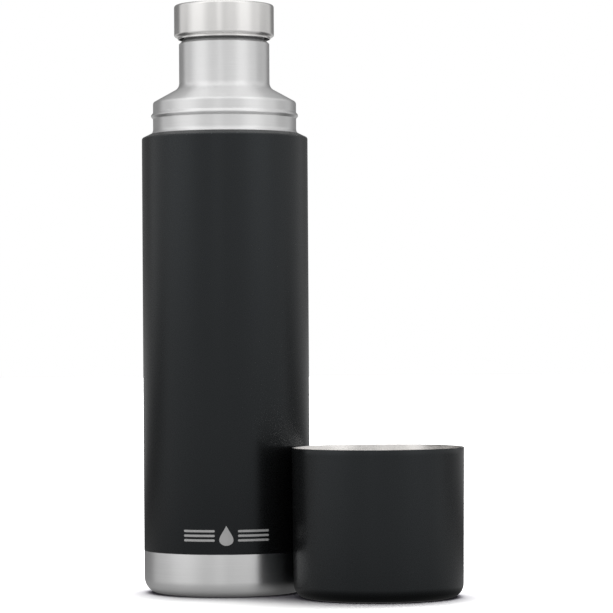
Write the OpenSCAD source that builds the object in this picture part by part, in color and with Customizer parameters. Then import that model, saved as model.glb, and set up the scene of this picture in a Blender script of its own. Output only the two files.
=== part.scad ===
// Insulated growler: a double-wall steel vacuum bottle with a screw stopper and a cup lid.
// The bottle stands on z = 0 with its axis on Z. The cup stands upright beside it.

/* [Bottle] */
// Radius of the body over its coat
body_r = 44; // [43.8:0.1:44.4]
// Height at which the body's side ends and its shoulder starts
shoulder_z = 239.65; // [220:0.05:250]
// Slope of the shoulder above the horizontal
shoulder_slope = 26; // [25:0.5:32]
// Radius of the bottom corner
foot_corner = 8; // [4:0.5:8]
// Height of the bare steel band below the coat
band_h = 22.4; // [15:0.1:40]
// Radius of the collar that the cup pushes onto
collar_r = 38; // [37.7:0.1:38.1]
// Height of the collar's top above the body's side
collar_h = 18.7; // [18:0.1:19.5]
// Radius of the ring bead around the collar
bead_r = 39; // [38.8:0.1:39.1]
// Outer radius of the neck
neck_r = 24; // [23.8:0.1:24.2]
// Height of the mouth above the body's side
mouth_h = 54.45; // [54:0.05:57]
// Thickness of the outer steel wall
outer_wall = 0.5; // [0.4:0.05:0.7]
// Thickness of the inner steel wall
inner_wall = 0.45; // [0.4:0.05:0.55]
// Thickness of the powder coat
coat_t = 0.12; // [0.08:0.01:0.2]

/* [Stopper] */
// Outer radius of the steel cap
cap_r = 26.5; // [26.2:0.1:27]
// Height of the steel cap
cap_h = 18.2; // [17:0.1:20]
// Lead of the two-start thread
thread_lead = 9; // [8.9:0.05:9.1]
// Turns that each thread ridge makes
thread_turns = 1.25; // [1:0.05:1.25]
// Number of pour slots cut through the stopper's thread
pour_slots = 2; // [2:1:3]

/* [Cup] */
// Outer radius of the cup at its rim
cup_r = 44.6; // [44.1:0.05:45]
// Height of the cup
cup_h = 77.4; // [77:0.1:90]
// How much narrower the cup is at its base
cup_taper = 0.7; // [0:0.1:1]
// Radius of the cup's bottom corner
cup_corner = 7; // [6:0.5:10]
// Distance of the cup's axis to the right of the bottle's axis
cup_x = 79.3; // [79.2:0.1:120]
// Distance of the cup's axis in front of the bottle's axis
cup_front = 41; // [41:1:60]

/* [Hidden] */
$fn = 120;

// Straight steps that draw a small arc
corner_n = 8;

// Clearances between joined pieces
weld_gap = 0.05;
seat_gap = 0.05;
skin_gap = 0.02;

// Body, on the steel's outer face
steel_r = body_r - coat_t;
shoulder_corner = 1.2;
flare_r = 3;
seam_z = shoulder_z + 10.85;
foot_ring_r = 34;
foot_lip_h = 3;
foot_edge_z = 0.5;

// Neck, on the steel's outer face. The bore is the face that the stopper screws into
bore_r = 20.5;
mouth_ring_r = bore_r + inner_wall + outer_wall;
mouth_ring_h = 1.15;
mouth_chamfer = neck_r - mouth_ring_r;
bead_z = seam_z + 1.8;
bead_round = 1.6;
collar_corner = 1.8;
cone_slope = 29;
neck_fillet = 4.5;
mouth_z = shoulder_z + mouth_h;

// Base
pan_z = 3.2;
pan_r = foot_ring_r - outer_wall - weld_gap;
pan_bore_r = pan_r - outer_wall;
seal_hole_r = 0.8;
seal_head_r = 2.4;
seal_head_h = 0.9;
cover_z = 1;
cover_t = 0.6;
cover_r = pan_bore_r - 0.15;
cover_rim_w = 1;
cover_round = 0.3;
getter_x = 18;
getter_r = 3.95;
getter_h = 2.4;
clip_t = 0.4;
clip_l = 14;
clip_w = 6;
clip_z = pan_z + outer_wall;

// Inner vessel, on the face that holds the drink
vessel_r = 37.2;
vessel_floor_z = 10;
vessel_seam_z = 16;
vessel_corner = 5;
vessel_shoulder_z = shoulder_z - 3;
vessel_shoulder_r = 14;
vessel_slope = 30;
vessel_fillet = 6;
throat_r = 17.2;
ledge_z = mouth_z - 27.4;
throat_h = 3.4;
throat_cone_h = 2.6;
foil_r = vessel_r + inner_wall + 0.4;
foil_t = 0.2;
foil_low_z = vessel_seam_z + 8;
foil_top_z = vessel_shoulder_z - 6;

// Thread
thread_starts = 2;
thread_steps = 36;
fade_steps = 4;
ridge_h = 1.1;
ridge_root_w = 2.4;
ridge_crest_w = 1.3;
ridge_embed = 0.25;
ridge_slope = (ridge_root_w - ridge_crest_w) / ridge_h;
thread_play = 0.35;
male_root_r = 19;
female_z = ledge_z + 7.2;
flank_sum = ridge_root_w + ridge_crest_w - ridge_slope * (bore_r - ridge_h - male_root_r);
male_z = female_z + thread_lead / thread_starts - flank_sum / 2 - thread_play;

// Stopper
gasket_z = ledge_z + seat_gap;
gasket_h = 3;
gasket_round = 0.8;
spigot_r = 15;
spigot_bore_r = 12.8;
gasket_bore_r = spigot_r + 0.1;
gasket_r = male_root_r;
stopper_low_z = gasket_z + gasket_h + seat_gap;
stopper_bore_r = 16.4;
stopper_step_z = stopper_low_z + 2;
stopper_chamfer = 0.5;
plug_cap_r = throat_r - 0.4;
plug_cap_z = ledge_z - 4.6;
plug_cap_floor_z = plug_cap_z + 1.8;
plug_cap_chamfer = 0.6;
flange_z = mouth_z + 1.4;
flange_top_z = flange_z + 1.8;
slot_w = 8;
slot_floor_r = 17.6;
slot_z = stopper_low_z + 1;
slot_top_z = mouth_z - 0.4;
seal_in_r = bore_r - 0.8;
seal_out_r = mouth_ring_r + 0.9;
seal_round = 0.5;

// Cap
cap_z = mouth_z - 1.1;
cap_top_z = cap_z + cap_h;
cap_wall = 0.5;
cap_curl = 1.5;
cap_skirt_r = cap_r - 1.9;
cap_skirt_h = 1;
cap_corner = 1.4;
liner_top_t = 1.5;
liner_bore_r = cap_r - 2.6;
liner_ceiling_z = cap_top_z - cap_wall - weld_gap - liner_top_t;
flange_r = liner_bore_r - weld_gap;

// Cup, on the steel's outer face and about its own axis
cup_wall = 0.4;
cup_steel_r = cup_r - coat_t;
cup_base_r = cup_steel_r - cup_taper;
cup_coat_start = 20;
cup_lip_t = cup_wall;
cup_lip_h = 3;
cup_foot_r = 28;
cup_recess_h = 1.4;
cup_recess_w = 1.6;

// Cup liner, on the face that holds the drink
cup_floor_z = 5;
cup_mouth_r = cup_steel_r - 2 * cup_wall - weld_gap;
cup_step_z = cup_h - 3.5;
cup_step_h = 3.5;
cup_bore_r = bead_r + 0.4;
cup_bore_low_r = cup_bore_r - 0.8;
cup_bore_corner = 9;
cup_snap_z = cup_h - 9;
cup_snap_in = 0.7;
cup_snap_round = 1.2;

// Colours
steel = "silver";
bright_steel = "gainsboro";
coat_black = "#2b2c2e";
plastic = "#3a3b3d";
silicone = "#5b5d60";
foam = "#e9e3cf";
getter_grey = "dimgray";
foil = "lightgray";

// Points along an arc of radius r about c, from angle a0 to angle a1
function arc(c, r, a0, a1, n = 12) =
    [for (i = [0 : n]) c + r * [cos(a0 + (a1 - a0) * i / n), sin(a0 + (a1 - a0) * i / n)]];

// Unit normal on the right-hand side of the step from point a to point b
function right_of(a, b) = [b[1] - a[1], a[0] - b[0]] / norm(b - a);

// An open line moved by d to its right, with mitred corners and square ends
function beside(line, d) =
    let (last = len(line) - 1)
    [for (i = [0 : last])
        let (
            before = right_of(line[max(i, 1) - 1], line[max(i, 1)]),
            after = right_of(line[min(i, last - 1)], line[min(i, last - 1) + 1])
        )
        line[i] + d * (before + after) / (1 + before * after)
    ];

function reverse(list) = [for (i = [len(list) - 1 : -1 : 0]) list[i]];

// Height of a fillet's centre where an arc turns into a straight slope and the fillet
// turns the slope back upright: c and r are the arc's, cr is the fillet centre's radius
function fillet_z(c, r, cr, fillet, slope) =
    (sin(slope) * (c[0] - cr) + cos(slope) * c[1] + r + fillet) / cos(slope);

// An arc that turns inwards to a slope, then a fillet that turns upright at radius to_r
function shoulder(c, r, slope, to_r, fillet, n) =
    let (cr = to_r + fillet)
    concat(
        arc(c, r, 0, 90 - slope, n),
        arc([cr, fillet_z(c, r, cr, fillet, slope)], fillet, 270 - slope, 180, n)
    );

// Turned sheet between a line and the same line moved by d to its right
module sheet_of(line, d) {
    rotate_extrude()
        polygon(concat(line, reverse(beside(line, d))));
}

// One helical ridge between radii r_a and r_b, fading at both ends towards its root
module ridge(r_a, w_a, r_b, w_b, crest_outside) {
    steps = round(thread_turns * thread_steps);
    points = [for (i = [0 : steps])
        let (
            a = 360 * i / thread_steps,
            z = thread_lead * i / thread_steps,
            fade = ridge_h * (1 - min(1, (min(i, steps - i) + 0.5) / fade_steps)),
            low = crest_outside ? r_a : r_a + fade,
            high = crest_outside ? r_b - fade : r_b
        )
        for (p = [[low, -w_a], [high, -w_b], [high, w_b], [low, w_a]])
            [p[0] * cos(a), p[0] * sin(a), z + p[1] / 2]
    ];
    sides = [for (i = [0 : steps - 1], k = [0 : 3])
        let (here = 4 * i, next = 4 * i + 4, m = (k + 1) % 4)
        each [[here + k, here + m, next + m], [here + k, next + m, next + k]]
    ];
    ends = [[3, 2, 1, 0], [for (k = [0 : 3]) 4 * steps + k]];
    polyhedron(points, concat(sides, ends), convexity = 6);
}

// Every start of the female thread, on the wall at radius bore_r
module female_thread() {
    for (i = [0 : thread_starts - 1])
        translate([0, 0, female_z])
            rotate(360 * i / thread_starts)
                ridge(bore_r - ridge_h, ridge_crest_w, bore_r + ridge_embed,
                    ridge_root_w + ridge_embed * ridge_slope, false);
}

// Every start of the male thread, on the wall at radius male_root_r
module male_thread() {
    for (i = [0 : thread_starts - 1])
        translate([0, 0, male_z])
            rotate(360 * i / thread_starts)
                ridge(male_root_r - ridge_embed, ridge_root_w + ridge_embed * ridge_slope,
                    male_root_r + ridge_h, ridge_crest_w, true);
}

// Shoulder of the body, from the end of its side to the start of the collar
body_shoulder = shoulder([steel_r - shoulder_corner, shoulder_z], shoulder_corner,
    shoulder_slope, collar_r, flare_r, corner_n);

// Body tube with its rolled foot and its shoulder
module outer_shell() {
    foot = [
        [foot_ring_r - outer_wall, foot_lip_h],
        [foot_ring_r - outer_wall, foot_edge_z],
        [foot_ring_r, 0]
    ];
    corner = arc([steel_r - foot_corner, foot_corner], foot_corner, -90, 0);
    color(steel)
        sheet_of(concat(foot, corner, body_shoulder, [[collar_r, seam_z]]), -outer_wall);
}

// Collar with its ring bead, cone, neck and mouth, welded to the body under the bead
module neck_shell() {
    bead_c = [bead_r - bead_round, bead_z];
    bead_a = acos((collar_r - bead_c[0]) / bead_round);
    collar_c = [collar_r - collar_corner, shoulder_z + collar_h];
    outside = concat(
        [[collar_r, seam_z]],
        arc(bead_c, bead_round, -bead_a, bead_a),
        shoulder(collar_c, collar_corner, cone_slope, neck_r, neck_fillet, corner_n),
        [
            [neck_r, mouth_z - mouth_ring_h - mouth_chamfer],
            [mouth_ring_r, mouth_z - mouth_ring_h],
            [mouth_ring_r, mouth_z]
        ]
    );
    color(steel)
        union() {
            sheet_of(outside, -outer_wall);
            translate([0, 0, mouth_z - outer_wall])
                difference() {
                    cylinder(r = mouth_ring_r, h = outer_wall);
                    translate([0, 0, -1])
                        cylinder(r = bore_r, h = outer_wall + 2);
                }
        }
}

// Powder coat from the steel band up to the foot of the collar
module body_coat() {
    face = concat([[steel_r, band_h]], [for (i = [0 : corner_n + 1]) body_shoulder[i]]);
    color(coat_black)
        sheet_of(beside(face, skin_gap), coat_t - skin_gap);
}

// Outer bottom plate, welded inside the foot's lip
module base_pan() {
    color(steel)
        rotate_extrude()
            polygon([
                [seal_hole_r, pan_z],
                [pan_bore_r, pan_z],
                [pan_bore_r, foot_edge_z],
                [pan_r, foot_edge_z],
                [pan_r, clip_z],
                [seal_hole_r, clip_z]
            ]);
}

// Thin dished cover that hides the evacuation seal
module base_cover() {
    color(bright_steel)
        rotate_extrude()
            polygon(concat(
                [[0, cover_z]],
                arc([cover_r - cover_round, cover_z + cover_round], cover_round, -90, 0, 3),
                [
                    [cover_r, pan_z],
                    [cover_r - cover_rim_w, pan_z],
                    [cover_r - cover_rim_w, cover_z + cover_t],
                    [0, cover_z + cover_t]
                ]
            ));
}

// Glass bead that closes the evacuation hole
module vacuum_seal() {
    stem_r = seal_hole_r - weld_gap;
    color(getter_grey)
        rotate_extrude()
            polygon(concat(
                [[0, pan_z - seal_head_h]],
                arc([seal_head_r - seal_head_h, pan_z], seal_head_h, -90, 0, 4),
                [[stem_r, pan_z], [stem_r, clip_z], [0, clip_z]]
            ));
}

// Gas-absorbing pellet in the vacuum space
module getter() {
    color(getter_grey)
        translate([getter_x, 0, clip_z + clip_t])
            cylinder(r = getter_r, h = getter_h);
}

// Clip that holds the getter on the bottom plate
module getter_clip() {
    ring_h = getter_h + 0.2;
    color(bright_steel)
        translate([getter_x, 0, clip_z]) {
            translate([-clip_l / 2, -clip_w / 2, 0])
                cube([clip_l, clip_w, clip_t]);
            difference() {
                cylinder(r = getter_r + weld_gap + clip_t, h = clip_t + ring_h);
                translate([0, 0, clip_t])
                    cylinder(r = getter_r + weld_gap, h = ring_h + 1);
            }
        }
}

// Reflecting foil around the inner vessel
module foil_wrap() {
    color(foil)
        sheet_of([[foil_r, foil_low_z], [foil_r, foil_top_z]], foil_t);
}

// Inner vessel from its bottom seam to the mouth, with the female thread
module inner_vessel() {
    body = concat(
        [[vessel_r, vessel_seam_z]],
        shoulder([vessel_r - vessel_shoulder_r, vessel_shoulder_z], vessel_shoulder_r,
            vessel_slope, bore_r, vessel_fillet, corner_n)
    );
    throat = [
        [bore_r, ledge_z - throat_h - throat_cone_h],
        [throat_r, ledge_z - throat_h],
        [throat_r, ledge_z],
        [bore_r, ledge_z]
    ];
    mouth = [[bore_r, mouth_z - outer_wall]];
    color(bright_steel)
        union() {
            sheet_of(concat(body, throat, mouth), inner_wall - weld_gap);
            female_thread();
        }
}

// Dished bottom of the inner vessel
module inner_bottom() {
    corner = arc([vessel_r - vessel_corner, vessel_floor_z + vessel_corner], vessel_corner, -90, 0);
    color(bright_steel)
        sheet_of(concat([[0, vessel_floor_z]], corner, [[vessel_r, vessel_seam_z]]),
            inner_wall - weld_gap);
}

// Ring that seals the stopper on the vessel's ledge
module stopper_gasket() {
    corner_r = gasket_r - gasket_round;
    color(silicone)
        rotate_extrude()
            polygon(concat(
                [[gasket_bore_r, gasket_z]],
                arc([corner_r, gasket_z + gasket_round], gasket_round, -90, 0, corner_n),
                arc([corner_r, gasket_z + gasket_h - gasket_round], gasket_round, 0, 90, corner_n),
                [[gasket_bore_r, gasket_z + gasket_h]]
            ));
}

// Stopper with its flange, male thread, pour slots and the spigot that carries the gasket
module stopper_body() {
    color(plastic)
        difference() {
            union() {
                rotate_extrude()
                    polygon([
                        [spigot_bore_r, plug_cap_floor_z],
                        [spigot_r, plug_cap_floor_z],
                        [spigot_r, stopper_low_z],
                        [male_root_r - stopper_chamfer, stopper_low_z],
                        [male_root_r, stopper_low_z + stopper_chamfer],
                        [male_root_r, flange_z],
                        [flange_r, flange_z],
                        [flange_r, flange_top_z],
                        [stopper_bore_r, flange_top_z],
                        [stopper_bore_r, stopper_step_z],
                        [spigot_bore_r, stopper_step_z]
                    ]);
                male_thread();
            }
            for (i = [0 : pour_slots - 1])
                rotate(360 * (i + 0.5) / pour_slots)
                    translate([slot_floor_r, -slot_w / 2, slot_z])
                        cube([slot_w, slot_w, slot_top_z - slot_z]);
        }
}

// Cap welded on the spigot, which closes the stopper's foot and holds the gasket
module stopper_plug_cap() {
    color(plastic)
        rotate_extrude()
            polygon([
                [0, plug_cap_z],
                [plug_cap_r - plug_cap_chamfer, plug_cap_z],
                [plug_cap_r, plug_cap_z + plug_cap_chamfer],
                [plug_cap_r, ledge_z],
                [spigot_r + weld_gap, ledge_z],
                [spigot_r + weld_gap, plug_cap_floor_z],
                [0, plug_cap_floor_z]
            ]);
}

// Foam plug inside the stopper
module stopper_foam() {
    color(foam)
        rotate_extrude()
            polygon([
                [0, plug_cap_floor_z],
                [spigot_bore_r - weld_gap, plug_cap_floor_z],
                [spigot_bore_r - weld_gap, stopper_step_z],
                [stopper_bore_r - weld_gap, stopper_step_z],
                [stopper_bore_r - weld_gap, flange_top_z],
                [0, flange_top_z]
            ]);
}

// Ring under the flange that seals on the mouth's rim
module lip_seal() {
    low_z = mouth_z + seat_gap;
    color(silicone)
        rotate_extrude()
            polygon(concat(
                [[seal_in_r, flange_z]],
                arc([seal_in_r + seal_round, low_z + seal_round], seal_round, 180, 270, corner_n),
                arc([seal_out_r - seal_round, low_z + seal_round], seal_round, -90, 0, corner_n),
                [[seal_out_r, flange_z]]
            ));
}

// Cap's outer face from the foot of its lower corner to the middle of its top
cap_corner_z = cap_z + cap_skirt_h;
cap_face = concat(
    [[cap_skirt_r, cap_corner_z]],
    arc([cap_r - cap_curl, cap_corner_z + cap_curl], cap_curl, -90, 0),
    arc([cap_r - cap_corner, cap_top_z - cap_corner], cap_corner, 0, 90),
    [[0, cap_top_z]]
);

// Moulded cap that carries the steel shell and is welded to the stopper's flange
module cap_liner() {
    face = beside(cap_face, -cap_wall - weld_gap);
    color(plastic)
        rotate_extrude()
            polygon(concat(
                face,
                [
                    [0, liner_ceiling_z],
                    [liner_bore_r, liner_ceiling_z],
                    [liner_bore_r, face[0][1]]
                ]
            ));
}

// Foam disc between the flange and the cap
module cap_insulation() {
    color(foam)
        translate([0, 0, flange_top_z])
            cylinder(r = flange_r, h = liner_ceiling_z - flange_top_z);
}

// Brushed steel shell of the cap, with a short skirt below its lower corner
module cap_shell() {
    color(steel)
        sheet_of(concat([[cap_skirt_r, cap_z]], cap_face), -cap_wall);
}

// Steel outer face of the cup, from the middle of its base to the underside of its lip
cup_side = concat(
    arc([cup_base_r - cup_corner, cup_corner], cup_corner, -90, 0),
    [[cup_steel_r, cup_h - cup_lip_h], [cup_steel_r, cup_h - cup_lip_t]]
);

// Outer wall and base of the cup
module cup_outer() {
    base = [
        [0, cup_recess_h],
        [cup_foot_r - cup_recess_w, cup_recess_h],
        [cup_foot_r, 0]
    ];
    color(steel)
        translate([cup_x, -cup_front, 0])
            sheet_of(concat(base, cup_side), -cup_wall);
}

// Powder coat on the cup, from inside its bottom corner up to the edge of its lip
module cup_coat() {
    corner = arc([cup_base_r - cup_corner, cup_corner], cup_corner, cup_coat_start - 90, 0);
    rim = [[cup_steel_r, cup_h - cup_lip_h], [cup_steel_r, cup_h]];
    color(coat_black)
        translate([cup_x, -cup_front, 0])
            sheet_of(beside(concat(corner, rim), skin_gap), coat_t - skin_gap);
}

// Inner wall of the cup, with its snap bead and its turned-out lip
module cup_inner() {
    snap_c = [cup_bore_r + cup_snap_round - cup_snap_in, cup_snap_z];
    snap_a = acos((snap_c[0] - cup_bore_r) / cup_snap_round);
    corner_c = [cup_bore_low_r - cup_bore_corner, cup_floor_z + cup_bore_corner];
    face = concat(
        [[0, cup_floor_z]],
        arc(corner_c, cup_bore_corner, -90, 0),
        arc(snap_c, cup_snap_round, 180 + snap_a, 180 - snap_a, corner_n),
        [
            [cup_bore_r, cup_step_z - cup_step_h],
            [cup_mouth_r, cup_step_z],
            [cup_mouth_r, cup_h],
            [cup_steel_r, cup_h]
        ]
    );
    color(bright_steel)
        translate([cup_x, -cup_front, 0])
            sheet_of(face, cup_wall);
}

outer_shell();
neck_shell();
body_coat();
base_pan();
base_cover();
vacuum_seal();
getter();
getter_clip();
foil_wrap();
inner_vessel();
inner_bottom();
stopper_gasket();
stopper_body();
stopper_plug_cap();
stopper_foam();
lip_seal();
cap_liner();
cap_insulation();
cap_shell();
cup_outer();
cup_coat();
cup_inner();
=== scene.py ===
import math

import bmesh
import bpy
from mathutils import Matrix, Vector


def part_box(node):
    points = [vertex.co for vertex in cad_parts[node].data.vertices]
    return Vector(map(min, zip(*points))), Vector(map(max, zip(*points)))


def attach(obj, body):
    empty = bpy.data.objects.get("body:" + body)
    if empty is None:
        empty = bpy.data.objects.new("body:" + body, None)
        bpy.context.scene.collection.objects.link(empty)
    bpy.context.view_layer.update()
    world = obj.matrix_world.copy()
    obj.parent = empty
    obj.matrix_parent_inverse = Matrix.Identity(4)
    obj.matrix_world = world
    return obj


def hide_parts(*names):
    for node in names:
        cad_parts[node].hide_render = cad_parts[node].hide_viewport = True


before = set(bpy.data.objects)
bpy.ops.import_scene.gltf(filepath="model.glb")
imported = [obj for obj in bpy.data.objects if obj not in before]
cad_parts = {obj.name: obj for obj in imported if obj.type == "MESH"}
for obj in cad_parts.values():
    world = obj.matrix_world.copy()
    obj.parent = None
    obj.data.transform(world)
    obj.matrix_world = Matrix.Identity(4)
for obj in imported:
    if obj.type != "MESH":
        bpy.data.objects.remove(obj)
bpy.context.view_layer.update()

MM = 0.001

# ---------------------------------------------------------------- sizes in mm

# Bottle, on the steel's outer face; only COAT_R is over the coat
COAT_R = 1000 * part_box("body_coat")[1].x
COAT = 0.12                 # thickness of the powder coat
COAT_LIFT = 0.02            # the coat's inner face stands this far off the steel
BODY_R = COAT_R - COAT
BAND_H = 1000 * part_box("body_coat")[0].z
WALL = 0.5                  # all sheets of the bottle and the cap
FOOT_ROUND = 8
FOOT_LIP_R = 33.5
FOOT_LIP_Z = 3
SHOULDER_ROUND = 1.2
SHOULDER_SLOPE = math.radians(26)
SHOULDER_Z = 239.65 + SHOULDER_ROUND * math.tan((math.pi / 2 - SHOULDER_SLOPE) / 2)
COLLAR_R = 38.0
FLARE_Z = SHOULDER_Z + (BODY_R - COLLAR_R) * math.tan(SHOULDER_SLOPE)
FLARE_ROUND = 3
COAT_TOP_Z = 1000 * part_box("body_coat")[1].z
SEAM_Z = 1000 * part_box("outer_shell")[1].z
BEAD_Z = SEAM_Z + 1.8
BEAD_HALF = 1.6
BEAD_TIP_R = 39.3
BEAD_FILLET = 0.4
COLLAR_ROUND = 1.8
CONE_SLOPE = math.radians(29)
COLLAR_TOP_Z = 258.35 + COLLAR_ROUND * math.tan((math.pi / 2 - CONE_SLOPE) / 2)
NECK_R = 24.0
NECK_FILLET = 4.5
CONE_TOP_Z = COLLAR_TOP_Z + (COLLAR_R - NECK_R) * math.tan(CONE_SLOPE)
MOUTH_Z = 1000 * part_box("neck_shell")[1].z
MOUTH_RING_R = 21.45
MOUTH_RING_H = 1.15
BORE_R = 20.5
CHAMFER_Z = MOUTH_Z - MOUTH_RING_H - NECK_R + MOUTH_RING_R

# The cover under the bottle: its flat ring, its raised middle and its rim
COVER_R = 1000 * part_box("base_cover")[1].x
COVER_Z = 1.0
COVER_MIDDLE_Z = 1.35
COVER_RIM_Z = 3.2

# The printed mark: its centre along the coat from the middle of the front, its height, its parts
MARK_U = 0.7
MARK_Z = 32.2
MARK_LIFT = 0.03            # the print stands this far off the coat
MARK_COLUMNS = 24
DROP_HALF_H = 5.2
DROP_HALF_W = 3.6
RULE_U = 14.5
RULE_STEP = 2.4
RULE_HALF_H = 0.6
RULE_LENGTH = 17

# Cap
CAP_R = 1000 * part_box("cap_shell")[1].x
CAP_Z = 1000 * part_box("cap_shell")[0].z
CAP_TOP = 1000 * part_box("cap_shell")[1].z
CAP_CORNER_Z = CAP_Z + 1
CAP_SKIRT_R = CAP_R - 1.9
CAP_CURL = 1.5
CAP_EDGE_ROUND = 1.4

# Cup; its axis is in metres
CUP_LOW, CUP_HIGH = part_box("cup_outer")
CUP_AXIS = ((CUP_LOW.x + CUP_HIGH.x) / 2, (CUP_LOW.y + CUP_HIGH.y) / 2)
CUP_R = 1000 * (CUP_HIGH.x - CUP_LOW.x) / 2
CUP_H = 1000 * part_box("cup_inner")[1].z
CUP_BASE_R = CUP_R - 0.7
CUP_TAPER_END = CUP_H - 3
CUP_WALL = 0.4
CUP_ROUND = 7
CUP_RECESS_R = 26.1
CUP_RECESS_Z = 1.4
CUP_RING_R = 27.6
CUP_COAT_FROM = CUP_BASE_R - CUP_ROUND + CUP_ROUND * math.sin(math.radians(20))
CUP_MOUTH_R = CUP_R - 2 * CUP_WALL - 0.05
CUP_FLOOR_R = 38.6
CUP_FLOOR_Z = 5
CUP_FLOOR_ROUND = 9
SNAP_Z = CUP_H - 9
SNAP_HALF = 1.4
SNAP_R = 38.5
SNAP_BELOW_R = 39.37
SNAP_ABOVE_R = 39.4
LIP_FLARE_Z = CUP_H - 7
LIP_Z = CUP_H - 3.5


# ---------------------------------------------------------------- outlines

ARC_STEP = 6                # degrees


def rounded(corners):
    """Points (r, z) of a line whose corners (r, z, radius) are rounded."""
    points = []
    for i, corner in enumerate(corners):
        here = Vector(corner[:2])
        radius = corner[2] if len(corner) > 2 else 0
        if not radius or i in (0, len(corners) - 1):
            points.append(here)
            continue
        back = (Vector(corners[i - 1][:2]) - here).normalized()
        ahead = (Vector(corners[i + 1][:2]) - here).normalized()
        half = math.acos(max(-1, min(1, back.dot(ahead)))) / 2
        centre = here + (back + ahead).normalized() * radius / math.sin(half)
        start = here + back * radius / math.tan(half) - centre
        turn = (math.pi - 2 * half) * (-1 if back.cross(ahead) > 0 else 1)
        count = max(3, round(math.degrees(abs(turn)) / ARC_STEP))
        points += [centre + Matrix.Rotation(turn * k / count, 2) @ start
                   for k in range(count + 1)]
    return points


def beside(line, d):
    """The line moved by d to its right, with mitred corners."""
    moved = []
    for i, point in enumerate(line):
        steps = [line[j + 1] - line[j] for j in (i - 1, i) if 0 <= j < len(line) - 1]
        sides = [Vector((s.y, -s.x)).normalized() for s in steps]
        total = sides[0] + sides[-1]
        moved.append(point + total * d / (1 + sides[0].dot(sides[-1])))
    return moved


def sheet(line, d):
    """Closed outline of a sheet between a line and the same line moved by d to its right."""
    return line + beside(line, d)[::-1]


# ---------------------------------------------------------------- meshes

LATHE_SEGMENTS = 192
LATHE_SHARP = math.radians(32)
CAD_SHARP = math.radians(30)


def add_object(name, mesh, material, body, centre=(0, 0)):
    """A new object that rides on a body and takes a material slot."""
    mesh.materials.append(material)
    piece = bpy.data.objects.new(name, mesh)
    bpy.context.scene.collection.objects.link(piece)
    piece.location = (centre[0], centre[1], 0)
    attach(piece, body)
    return piece


def lathe_mesh(name, outline):
    """A closed outline in mm turned around Z into a smooth-shaded mesh in metres."""
    bm = bmesh.new()
    rings = []
    angles = [math.tau * k / LATHE_SEGMENTS for k in range(LATHE_SEGMENTS)]
    for point in outline:
        if point.x < 1e-6:
            rings.append([bm.verts.new((0, 0, point.y * MM))])
            continue
        rings.append([bm.verts.new((point.x * MM * math.cos(a), point.x * MM * math.sin(a),
                                    point.y * MM)) for a in angles])
    for ring, after in zip(rings, rings[1:] + rings[:1]):
        for k in range(LATHE_SEGMENTS):
            m = (k + 1) % LATHE_SEGMENTS
            corners = []
            for vert in (ring[k % len(ring)], ring[m % len(ring)],
                         after[m % len(after)], after[k % len(after)]):
                if vert not in corners:
                    corners.append(vert)
            if len(corners) > 2:
                bm.faces.new(corners)
    bmesh.ops.recalc_face_normals(bm, faces=bm.faces)
    mesh = bpy.data.meshes.new(name)
    bm.to_mesh(mesh)
    bm.free()
    mesh.shade_smooth()
    mesh.set_sharp_from_angle(angle=LATHE_SHARP)
    return mesh


def lathe(name, outline, material, body, stands_for, centre=(0, 0)):
    """A turned piece that replaces the CAD nodes it stands for."""
    piece = add_object(name, lathe_mesh(name, outline), material, body, centre)
    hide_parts(*stands_for)


# ---------------------------------------------------------------- materials

class Nodes:
    """A short way to build a node tree."""

    def __init__(self, tree):
        self.tree = tree
        tree.nodes.clear()

    def add(self, kind, inputs=None, **settings):
        node = self.tree.nodes.new("ShaderNode" + kind)
        for key, value in settings.items():
            setattr(node, key, value)
        for key, value in (inputs or {}).items():
            self.feed(node.inputs[key], value)
        return node

    def feed(self, socket, value):
        """Links a socket to another one, or sets its value."""
        if isinstance(value, bpy.types.NodeSocket):
            self.tree.links.new(value, socket)
        else:
            socket.default_value = value

    def math(self, operation, *values):
        return self.add("Math", dict(enumerate(values)), operation=operation).outputs[0]

    def total(self, values):
        result = values[0]
        for value in values[1:]:
            result = self.math("ADD", result, value)
        return result

    def remap(self, value, low, high, to_low=0.0, to_high=1.0, smooth=False):
        inputs = {"Value": value, "From Min": low, "From Max": high,
                  "To Min": to_low, "To Max": to_high}
        kind = "SMOOTHSTEP" if smooth else "LINEAR"
        return self.add("MapRange", inputs, interpolation_type=kind).outputs[0]

    def between(self, value, low, high, soft):
        """1 where low < value < high, with soft edges."""
        rise = self.remap(value, low - soft, low + soft, smooth=True)
        fall = self.remap(value, high - soft, high + soft, 1.0, 0.0, smooth=True)
        return self.math("MULTIPLY", rise, fall)

    def mix(self, factor, a, b):
        node = self.add("Mix", data_type="RGBA")
        for index, value in ((0, factor), (6, a), (7, b)):
            self.feed(node.inputs[index], value)
        return node.outputs[2]

    def scaled(self, vector, scale):
        return self.add("VectorMath", {0: vector, "Scale": scale}, operation="SCALE").outputs[0]

    def place(self):
        """The surface point in the object's own frame, in metres."""
        return self.add("TexCoord").outputs["Object"]

    def place_mm(self):
        return self.scaled(self.place(), 1000)

    def noise(self, vector, scale, detail=3, rough=0.55, w=None):
        inputs = {"Vector": vector, "Scale": scale, "Detail": detail, "Roughness": rough}
        if w is not None:
            inputs["W"] = w
        kind = "3D" if w is None else "4D"
        return self.add("TexNoise", inputs, noise_dimensions=kind).outputs[0]

    def bump(self, height, strength, distance_mm):
        return self.add("Bump", {"Height": height, "Strength": strength,
                                 "Distance": distance_mm * MM}).outputs[0]

    def surface(self, inputs):
        """The Principled shader, wired to the material's output."""
        shader = self.add("BsdfPrincipled", inputs)
        self.add("OutputMaterial", {"Surface": shader.outputs[0]})

    def by_ray(self, for_camera, for_others):
        """One shader for rays from the camera and another for all other rays."""
        is_camera = self.add("LightPath").outputs["Is Camera Ray"]
        return self.add("MixShader", {0: is_camera, 1: for_others.outputs[0],
                                      2: for_camera.outputs[0]}).outputs[0]


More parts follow.
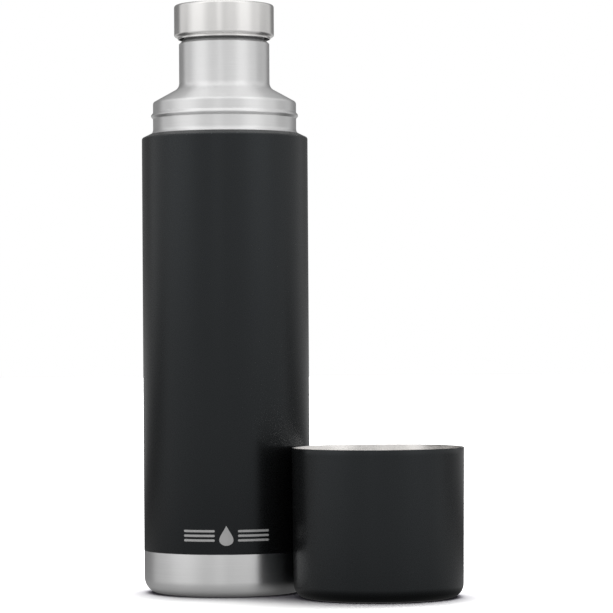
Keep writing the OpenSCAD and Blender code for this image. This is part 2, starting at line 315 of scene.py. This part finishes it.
def grey(value, warm=0.0):
    return (value * (1 + warm), value, value * (1 - warm), 1)


def new_material(name):
    material = bpy.data.materials.new(name)
    material.use_nodes = True
    return material, Nodes(material.node_tree)


def brushed_steel(name, tone, rough, grain=1.0, warm=0.0):
    """Steel brushed round the Z axis: fine rings, a coarser drift, and a stretched gloss."""
    material, n = new_material(name)
    place = n.place_mm()
    part = n.add("SeparateXYZ", {0: place}).outputs
    angle = n.math("ARCTAN2", part[1], part[0])
    across = n.add("CombineXYZ", {0: part[0], 1: part[1]}).outputs[0]
    radius = n.add("VectorMath", {0: across}, operation="LENGTH").outputs["Value"]

    def rings(turns, fineness, detail):
        along = n.add("CombineXYZ", {
            0: n.math("MULTIPLY", n.math("COSINE", angle), turns),
            1: n.math("MULTIPLY", n.math("SINE", angle), turns),
            2: n.math("MULTIPLY", part[2], fineness)}).outputs[0]
        return n.noise(along, 1, detail, 0.6, w=n.math("MULTIPLY", radius, fineness))

    fine = rings(2.2 * grain, 7.0 * grain, 4)
    coarse = rings(1.1 * grain, 1.1 * grain, 2)
    cloud = n.noise(place, 0.035, 2, 0.5)
    low = n.remap(fine, 0.3, 0.7, 0.97, 1.02)
    drift = n.remap(n.math("ADD", coarse, cloud), 0.7, 1.3, 0.98, 1.02)
    gloss = n.math("ADD", fine, n.math("MULTIPLY", coarse, 0.6))
    n.surface({
        "Base Color": n.scaled(grey(tone, warm)[:3], n.math("MULTIPLY", low, drift)),
        "Metallic": 1.0,
        "Roughness": n.remap(gloss, 0.5, 1.1, rough - 0.03, rough + 0.03),
        "Anisotropic": 0.9,
        "Anisotropic Rotation": 0.25,
        "Normal": n.bump(fine, 0.3, 0.002),
        "Tangent": n.add("Tangent", direction_type="RADIAL", axis="Z").outputs[0]})
    return material


def satin_steel(name, tone, rough, warm=0.0):
    """Plain sheet steel with faint drawing marks along the wall and soft clouds."""
    material, n = new_material(name)
    place = n.place_mm()
    marks = n.add("VectorMath", {0: place, 1: (2.4, 2.4, 0.12)}, operation="MULTIPLY").outputs[0]
    drawn = n.noise(marks, 1, 4, 0.6)
    cloud = n.noise(place, 0.06, 3, 0.55)
    shade = n.remap(n.math("ADD", drawn, cloud), 0.6, 1.4, 0.94, 1.05)
    n.surface({
        "Base Color": n.scaled(grey(tone, warm)[:3], shade),
        "Metallic": 1.0,
        "Roughness": n.remap(cloud, 0.3, 0.7, rough - 0.05, rough + 0.06),
        "Normal": n.bump(drawn, 0.3, 0.003)})
    return material


def powder_coat(name, tone, rough):
    """Satin powder coat: soft orange peel, a fine sand on top and faint mottling."""
    material, n = new_material(name)
    place = n.place_mm()
    peel = n.noise(place, 1.3, 2, 0.5)
    sand = n.noise(place, 5.5, 3, 0.65)
    mottle = n.noise(place, 0.05, 3, 0.5)
    height = n.math("ADD", n.math("MULTIPLY", peel, 0.6), n.math("MULTIPLY", sand, 0.5))
    n.surface({
        "Base Color": n.mix(n.remap(n.math("ADD", sand, mottle), 0.7, 1.3),
                            (tone * 0.86, tone * 0.89, tone * 0.92, 1),
                            (tone * 1.1, tone * 1.13, tone * 1.16, 1)),
        "Roughness": n.remap(n.math("ADD", sand, peel), 0.7, 1.3, rough - 0.05, rough + 0.05),
        "Specular IOR Level": 0.37,
        "Specular Tint": (0.92, 1.0, 1.06, 1),
        "Normal": n.bump(height, 0.35, 0.012)})
    return material


def moulded(name, low, high, rough, scale=2.5, depth=0.01):
    """A moulded material, soft or hard, with a fine grain; depth is in mm."""
    material, n = new_material(name)
    place = n.place_mm()
    grain = n.noise(place, scale, 4, 0.6)
    cloud = n.noise(place, 0.15, 2, 0.5)
    n.surface({
        "Base Color": n.mix(n.remap(n.math("ADD", grain, cloud), 0.7, 1.3), low, high),
        "Roughness": n.remap(grain, 0.3, 0.7, rough - 0.06, rough + 0.06),
        "Normal": n.bump(grain, 0.4, depth)})
    return material


def cellular(name, low, high):
    """Foam: rounded cells about a millimetre wide, with darker pits."""
    material, n = new_material(name)
    place = n.place_mm()
    cells = n.add("TexVoronoi", {"Vector": place, "Scale": 1 / 1.1}).outputs["Distance"]
    fine = n.noise(place, 3, 3, 0.6)
    factor = n.remap(n.math("ADD", cells, n.math("MULTIPLY", fine, 0.3)), 0.1, 0.8)
    n.surface({
        "Base Color": n.mix(factor, high, low),
        "Roughness": 0.9,
        "Normal": n.bump(cells, 0.7, 0.3)})
    return material


def crinkled_foil(name):
    """Bright foil with folds and fine creases."""
    material, n = new_material(name)
    place = n.place_mm()
    folds = n.add("TexVoronoi", {"Vector": place, "Scale": 0.16}, feature="F1").outputs["Distance"]
    fine = n.noise(place, 0.6, 4, 0.6)
    height = n.math("ADD", folds, n.math("MULTIPLY", fine, 0.5))
    n.surface({
        "Base Color": n.mix(n.remap(fine, 0.3, 0.7), grey(0.72), grey(0.86)),
        "Metallic": 1.0,
        "Roughness": n.remap(fine, 0.3, 0.7, 0.18, 0.32),
        "Normal": n.bump(height, 0.6, 0.4)})
    return material


body_steel = brushed_steel("body_steel", 0.82, 0.38)
cap_steel = brushed_steel("cap_steel", 0.79, 0.24, grain=1.1, warm=0.015)
inner_steel = satin_steel("inner_steel", 0.86, 0.24, warm=0.02)
sheet_steel = satin_steel("sheet_steel", 0.60, 0.32)
black_coat = powder_coat("black_coat", 0.004, 0.29)
black_plastic = moulded("black_plastic", grey(0.014), grey(0.022), 0.42)
silicone = moulded("silicone", grey(0.05), grey(0.068), 0.55, scale=1.2, depth=0.006)
foam = cellular("foam", (0.42, 0.36, 0.24, 1), (0.72, 0.65, 0.48, 1))
foil = crinkled_foil("foil")
getter_metal = moulded("getter_metal", grey(0.06), grey(0.12), 0.6, scale=4, depth=0.03)
seal_glass = moulded("seal_glass", (0.16, 0.13, 0.09, 1), (0.24, 0.2, 0.14, 1), 0.15, scale=0.8)
print_grey = moulded("print_grey", grey(0.36), grey(0.44), 0.5, scale=3, depth=0.004)


# ---------------------------------------------------------------- bottle

shoulder_line = rounded([
    (BODY_R, BAND_H), (BODY_R, SHOULDER_Z, SHOULDER_ROUND), (COLLAR_R, FLARE_Z, FLARE_ROUND),
    (COLLAR_R, SEAM_Z)])
foot_line = rounded([
    (FOOT_LIP_R, FOOT_LIP_Z), (FOOT_LIP_R, 0.35, 0.3), (FOOT_LIP_R + 0.4, 0, 0.2),
    (BODY_R, 0, FOOT_ROUND), (BODY_R, BAND_H)])
lathe("bottle_shell", sheet(foot_line[:-1] + shoulder_line, -WALL),
      body_steel, "bottle", ["outer_shell"])

neck_line = rounded([
    (COLLAR_R, SEAM_Z),
    (COLLAR_R, BEAD_Z - BEAD_HALF, BEAD_FILLET),
    (BEAD_TIP_R, BEAD_Z, 0.91),
    (COLLAR_R, BEAD_Z + BEAD_HALF, BEAD_FILLET),
    (COLLAR_R, COLLAR_TOP_Z, COLLAR_ROUND),
    (NECK_R, CONE_TOP_Z, NECK_FILLET),
    (NECK_R, CHAMFER_Z, 0.4),
    (MOUTH_RING_R, MOUTH_Z - MOUTH_RING_H, 0.3),
    (MOUTH_RING_R, MOUTH_Z, 0.2),
    (BORE_R, MOUTH_Z, 0.15),
    (BORE_R, MOUTH_Z - WALL)])
# The inner face leaves out the bead's hollow, and ends in one corner below the mouth's rim
neck_under = [p for p in beside(neck_line, -WALL) if p.y < MOUTH_Z - 0.6 and p.x < COLLAR_R]
neck_under.append(Vector((MOUTH_RING_R - WALL, MOUTH_Z - WALL)))
lathe("bottle_neck", neck_line + neck_under[::-1],
      body_steel, "bottle", ["neck_shell"])

# The coat's lower edge is rounded off where the bare band starts
coated = [p for p in shoulder_line if p.y < COAT_TOP_Z]
coat_face = beside(coated, COAT)
low = coat_face.pop(0)
high = coat_face.pop()
coat_edge = [low + Vector((-0.06, 0)), low + Vector((-0.015, 0.03)), low + Vector((0, 0.1))]
lathe("bottle_coat", beside(coated, COAT_LIFT)[::-1] + coat_edge + coat_face + [high],
      black_coat, "bottle", ["body_coat"])

cover_line = rounded([
    (0, COVER_MIDDLE_Z), (9, COVER_MIDDLE_Z, 6), (12, COVER_Z, 6), (COVER_R, COVER_Z, 0.5),
    (COVER_R, COVER_RIM_Z)])
lathe("bottle_base_cover", sheet(cover_line, -WALL),
      sheet_steel, "bottle", ["base_cover"])


# ---------------------------------------------------------------- printed mark

def printed(bm, centre_u, rows):
    """A patch of print on the coat from rows of (height, half width), all in mm."""
    radius = COAT_R + MARK_LIFT
    lines = []
    for z, half in rows:
        angles = [(centre_u + half * (2 * k / MARK_COLUMNS - 1)) / radius
                  for k in range(MARK_COLUMNS + 1)]
        lines.append([bm.verts.new((radius * math.sin(a) * MM, -radius * math.cos(a) * MM, z * MM))
                      for a in angles])
    for line, after in zip(lines, lines[1:]):
        for k in range(MARK_COLUMNS):
            bm.faces.new((line[k], line[k + 1], after[k + 1], after[k]))


def rule_rows(low, high, length, steps=8):
    """Rows of a rule with round ends."""
    r = (high - low) / 2
    heights = [low + r - r * 0.98 * math.cos(math.pi * i / steps) for i in range(steps + 1)]
    return [(z, length / 2 - r + math.sqrt(r * r - (z - low - r) ** 2)) for z in heights]


def drop_rows(low, high, half, steps=32):
    """Rows of a drop: a round belly that narrows in a curve to a point."""
    rows = []
    for i in range(steps + 1):
        t = 0.01 + 0.98 * i / steps
        width = math.sin(math.pi * t ** 0.62) * (1 - 0.35 * t)
        rows.append((low + (high - low) * t, 1.14 * half * width))
    return rows


mark = bmesh.new()
printed(mark, MARK_U, drop_rows(MARK_Z - DROP_HALF_H, MARK_Z + DROP_HALF_H, DROP_HALF_W))
for side in (-1, 1):
    for height in (-RULE_STEP, 0, RULE_STEP):
        middle = MARK_Z + height
        printed(mark, MARK_U + side * RULE_U,
                rule_rows(middle - RULE_HALF_H, middle + RULE_HALF_H, RULE_LENGTH))
mark_mesh = bpy.data.meshes.new("bottle_mark")
mark.to_mesh(mark_mesh)
mark.free()
mark_mesh.shade_smooth()
add_object("bottle_mark", mark_mesh, print_grey, "bottle")


# ---------------------------------------------------------------- cap

cap_line = rounded([
    (CAP_SKIRT_R, CAP_Z), (CAP_SKIRT_R, CAP_CORNER_Z, 0.15), (CAP_R, CAP_CORNER_Z, CAP_CURL),
    (CAP_R, CAP_TOP, CAP_EDGE_ROUND), (0, CAP_TOP)])
lathe("cap_face", sheet(cap_line, -WALL), cap_steel, "stopper", ["cap_shell"])


# ---------------------------------------------------------------- cup

cup_side = rounded([
    (0, CUP_RECESS_Z), (CUP_RECESS_R, CUP_RECESS_Z, 1.2), (CUP_RING_R, 0, 0.8),
    (CUP_BASE_R, 0, CUP_ROUND), (CUP_R, CUP_TAPER_END), (CUP_R, CUP_H - CUP_WALL)])
lathe("cup_wall", sheet(cup_side, -CUP_WALL),
      sheet_steel, "cup", ["cup_outer"], CUP_AXIS)

# The coat's upper edge is rounded off at the lip
cup_coated = [p for p in cup_side if p.x > CUP_COAT_FROM][:-1] + [Vector((CUP_R, CUP_H))]
cup_coat_face = beside(cup_coated, COAT)
top = cup_coat_face.pop()
cup_coat_edge = [top + Vector((0, -0.1)), top + Vector((-0.02, -0.03)), top + Vector((-0.06, 0))]
lathe("cup_coat_face", beside(cup_coated, COAT_LIFT)[::-1] + cup_coat_face + cup_coat_edge,
      black_coat, "cup", ["cup_coat"], CUP_AXIS)

# From the middle of the floor up to the lip, with the snap bead between
cup_inside = rounded([
    (0, CUP_FLOOR_Z), (CUP_FLOOR_R, CUP_FLOOR_Z, CUP_FLOOR_ROUND),
    (SNAP_BELOW_R, SNAP_Z - SNAP_HALF, 0.6), (SNAP_R, SNAP_Z, 1.0),
    (SNAP_ABOVE_R, SNAP_Z + SNAP_HALF, 0.6), (SNAP_ABOVE_R, LIP_FLARE_Z, 0.6),
    (CUP_MOUTH_R, LIP_Z, 1.0), (CUP_MOUTH_R, CUP_H, 0.35), (CUP_R, CUP_H)])
lathe("cup_liner", sheet(cup_inside, CUP_WALL),
      inner_steel, "cup", ["cup_inner"], CUP_AXIS)


# ---------------------------------------------------------------- CAD pieces that keep their mesh

CAD_FINISHES = {
    "base_pan": (sheet_steel, "plain_steel"),
    "vacuum_seal": (seal_glass, "seal_glass"),
    "getter": (getter_metal, "getter_metal"),
    "getter_clip": (sheet_steel, "plain_steel"),
    "foil_wrap": (foil, "foil"),
    "inner_vessel": (inner_steel, "inner_steel"),
    "inner_bottom": (inner_steel, "inner_steel"),
    "stopper_gasket": (silicone, "silicone"),
    "stopper_body": (black_plastic, "black_plastic"),
    "stopper_plug_cap": (black_plastic, "black_plastic"),
    "stopper_foam": (foam, "foam"),
    "lip_seal": (silicone, "silicone"),
    "cap_liner": (black_plastic, "black_plastic"),
    "cap_insulation": (foam, "foam"),
}
for name, (material, slot) in CAD_FINISHES.items():
    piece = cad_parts[name]
    piece.data.materials.clear()
    piece.data.materials.append(material)
    piece.data.shade_smooth()
    piece.data.set_sharp_from_angle(angle=CAD_SHARP)


# ---------------------------------------------------------------- studio

scene = bpy.context.scene
scene.view_settings.view_transform = "Standard"

# The floor is burnt out to white where the camera sees it, apart from a shadow painted darker from
# ambient occlusion under and right beside each object. In reflections it is an emission, a painted
# glow standing in for lit floor, darker than the floor the camera sees, with painted shade under
# and beside objects and around the cup.
# Its levels: the painted shadow beside an object, and the open floor; the painted glow near the
# bottle (darker, painted shade), further out, and behind it (darker).
# All distances on it are in metres.
FLOOR_HALF = 9
# Camera: painted contact shadow, open floor. Reflections (painted glow): painted shadow under
# objects, painted shade near the bottle, further out, behind.
SHOWN_PAINTED_SHADOW = (0.105, 0.1, 0.115, 1)
SHOWN_OPEN = (0.36, 0.37)
MIRRORED_PAINTED_SHADOW = 0.08
MIRRORED_NEAR_SHADED = 0.37
MIRRORED_FAR = (0.62, 0.64)
MIRRORED_BEHIND = 0.1

floor_mesh = bpy.data.meshes.new("floor")
floor_mesh.from_pydata([(x * FLOOR_HALF, y * FLOOR_HALF, 0)
                        for x, y in ((-1, -1), (1, -1), (1, 1), (-1, 1))], [], [(0, 1, 2, 3)])
floor = bpy.data.objects.new("floor", floor_mesh)
scene.collection.objects.link(floor)
floor_material, n = new_material("floor_white")
spot = n.place()
mottle = n.remap(n.noise(spot, 3.0, 2), 0.3, 0.7)


def outside_painted_shadow(distance, low, high):
    """0 where a shadow is painted on the floor under or right beside an object, 1 on open floor.
    """
    near = n.add("AmbientOcclusion", {"Distance": distance}, samples=8).outputs["AO"]
    return n.remap(near, low, high)


def mottled(levels):
    return n.mix(mottle, grey(levels[0]), grey(levels[1]))


depth = n.add("SeparateXYZ", {0: spot}).outputs[1]
behind = n.math("MULTIPLY", n.remap(depth, -0.05, 0.2), n.remap(depth, 0.5, 1.2, 1.0, 0.2))
from_middle = n.add("VectorMath", {0: spot}, operation="LENGTH").outputs["Value"]
from_cup = n.add("VectorMath", {0: spot, 1: (*CUP_AXIS, 0)}, operation="DISTANCE").outputs["Value"]
# Painted shadow of the cup on the floor in reflections: 0 under the cup, rising to 1 at 2 cm
# beyond its side.
clear_of_painted_cup_shadow = n.remap(from_cup, CUP_R * MM, CUP_R * MM + 0.02)

# Painted contact shadow on the floor the camera sees: darker where ambient occlusion finds an
# object within 4 cm.
shown = n.mix(outside_painted_shadow(0.04, 0.3, 0.9), SHOWN_PAINTED_SHADOW, mottled(SHOWN_OPEN))
# The painted glow is darker near the bottle, as painted shade, and brighter further out.
ahead = n.mix(n.remap(from_middle, 0.08, 0.45), grey(MIRRORED_NEAR_SHADED), mottled(MIRRORED_FAR))
lit = n.mix(behind, ahead, grey(MIRRORED_BEHIND))
# Painted shade in reflections: darker where ambient occlusion finds an object within 12 mm, and
# under the cup.
clear_of_painted_shade = n.math("MULTIPLY", outside_painted_shadow(0.012, 0.2, 0.55), clear_of_painted_cup_shadow)
mirrored = n.mix(clear_of_painted_shade, grey(MIRRORED_PAINTED_SHADOW), lit)
# The floor the camera sees is diffuse; in reflections it is an emission, a painted glow that
# stands in for lit floor.
n.add("OutputMaterial", {"Surface": n.by_ray(n.add("BsdfDiffuse", {"Color": shown}),
                                             n.add("Emission", {"Color": mirrored}))})
floor_mesh.materials.append(floor_material)

# A wide overhead light from behind, which only reaches matt surfaces
overhead_data = bpy.data.lights.new("overhead", "SUN")
overhead_data.energy = 17
overhead_data.angle = math.radians(70)
overhead = bpy.data.objects.new("overhead", overhead_data)
overhead.rotation_euler = (math.radians(-30), 0, 0)
overhead.visible_glossy = False
overhead.visible_transmission = False
scene.collection.objects.link(overhead)

# The rest of the studio, seen by reflection only: walls with bright and dim panels, which rise
# a little behind the object, under a bright ceiling. The camera itself sees white.
# Azimuth 0 is towards the camera and 90 is to the right: low edge, high edge, softness, level
WALLS = [
    (-123, 0, 8, 0.62), (0, 138, 10, 0.44), (2, 100, 14, 0.22),
    (-82, -44, 12, 0.40), (34, 66, 10, 0.38), (-15, -5, 4, 0.22),
]
WALL_LEVEL = 0.22
BACK_RISE = 0.15
CEILING_LEVEL = 1.3

world = bpy.data.worlds.new("studio")
scene.world = world
world.use_nodes = True
n = Nodes(world.node_tree)
ray = n.add("SeparateXYZ", {0: n.add("TexCoord").outputs["Generated"]}).outputs
azimuth = n.math("MULTIPLY", n.math("ARCTAN2", ray[0], n.math("MULTIPLY", ray[1], -1.0)),
                 180 / math.pi)
elevation = n.math("MULTIPLY", n.math("ARCSINE", ray[2]), 180 / math.pi)

panels = [n.math("MULTIPLY", n.between(azimuth, low, high, soft), level)
          for low, high, soft, level in WALLS]
back_rise = n.math("MULTIPLY", n.remap(elevation, 8, 34, 0.0, BACK_RISE, smooth=True),
                   n.math("SUBTRACT", 1.0, n.between(azimuth, -110, 110, 15)))
room = n.total(panels + [WALL_LEVEL, back_rise])
light = n.mix(n.remap(elevation, 48, 62, smooth=True), room, grey(CEILING_LEVEL))
n.add("OutputWorld", {"Surface": n.by_ray(n.add("Background", {"Color": (1, 1, 1, 1)}),
                                          n.add("Background", {"Color": light}))})


# ---------------------------------------------------------------- camera

CAMERA_AT = (0.04287, -1.617, 0.1339)
CAMERA_TILT = math.radians(90.6)
CAMERA_ROLL = math.radians(-0.38)

camera_data = bpy.data.cameras.new("camera")
camera_data.sensor_width = 36
camera_data.lens = 178.8
camera_data.clip_start = 0.05
camera = bpy.data.objects.new("camera", camera_data)
camera.matrix_world = (Matrix.Translation(CAMERA_AT)
                       @ Matrix.Rotation(CAMERA_TILT, 4, "X")
                       @ Matrix.Rotation(CAMERA_ROLL, 4, "Z"))
scene.collection.objects.link(camera)
scene.camera = camera
